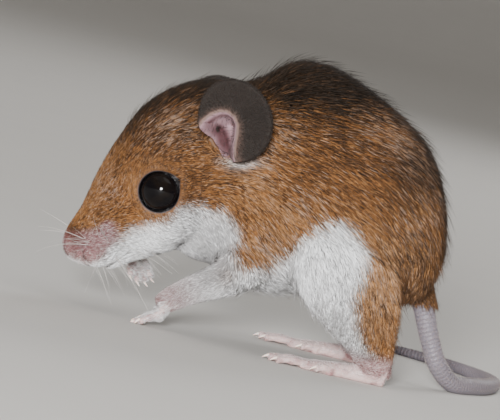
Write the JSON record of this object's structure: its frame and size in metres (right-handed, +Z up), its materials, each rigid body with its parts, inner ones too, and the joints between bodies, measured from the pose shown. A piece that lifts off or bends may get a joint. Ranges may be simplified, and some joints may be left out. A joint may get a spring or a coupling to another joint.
{
  "type": "pygmy mouse",
  "caption": "Small orange-brown mouse with a white belly, hunched low with its nose down and its tail laid on the floor, as a still life-size model.",
  "frame": {"origin": "centre of the bounding box, at the level of the floor that the feet and tail rest on", "axes": "+X runs from the nose back to the rump, so the mouse faces -X, its left side is towards -Y, and +Z is up"},
  "size_m": [0.052, 0.043, 0.0294],
  "materials": {
    "coat": "short dense fur, orange-brown with dark ticking",
    "white_coat": "short white fur over pink skin",
    "pink_skin": "thin-haired pink skin",
    "ear_skin": "thin dark grey-brown skin, pink in the concha",
    "eye": "wet black"
  },
  "bodies": {
    "root": {"head": "coat", "muzzle": "pink_skin", "neck": "coat", "torso": "coat", "rump": "coat", "eye_left": "eye", "ear_left": "ear_skin", "foreleg_left": "white_coat", "forepaw_left": "pink_skin", "thigh_left": "coat", "shank_left": "coat", "hind_foot_left": "pink_skin", "eye_right": "eye", "ear_right": "ear_skin", "foreleg_right": "white_coat", "forepaw_right": "pink_skin", "thigh_right": "coat", "shank_right": "coat", "hind_foot_right": "pink_skin", "tail_1": "pink_skin", "tail_2": "pink_skin", "tail_3": "pink_skin", "tail_4": "pink_skin"}
  },
  "joints": []
}
